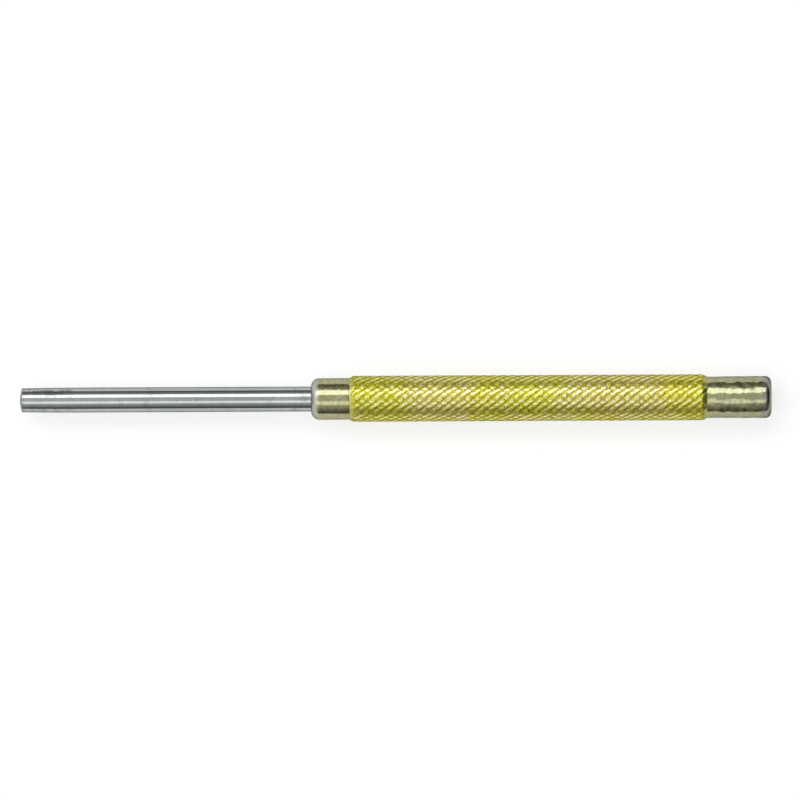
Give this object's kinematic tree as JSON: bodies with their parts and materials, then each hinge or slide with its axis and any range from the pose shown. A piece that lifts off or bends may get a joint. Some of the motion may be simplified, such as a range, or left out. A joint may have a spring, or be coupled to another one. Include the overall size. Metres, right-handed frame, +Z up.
{
  "type": "pin punch",
  "caption": "Parallel pin punch: a slim ground steel pin seated in a diamond-knurled, yellow zinc plated steel handle with a smooth nose and a struck head.",
  "frame": {"origin": "centre of the working tip's flat, on the punch's axis", "axes": "+X along the axis from the working tip to the struck head, +Z up as the punch lies, +Y across"},
  "size_m": [0.15, 0.0092, 0.0092],
  "materials": {
    "pin_steel": "ground and polished bare steel, bright, with faint marks at the tip",
    "handle_plating": "yellow zinc plated steel, khaki gold with an iridescent sheen, worn silver grey at the nose round and the struck rim"
  },
  "bodies": {
    "root": {"punch_pin": "pin_steel", "knurled_handle": "handle_plating"}
  },
  "joints": []
}
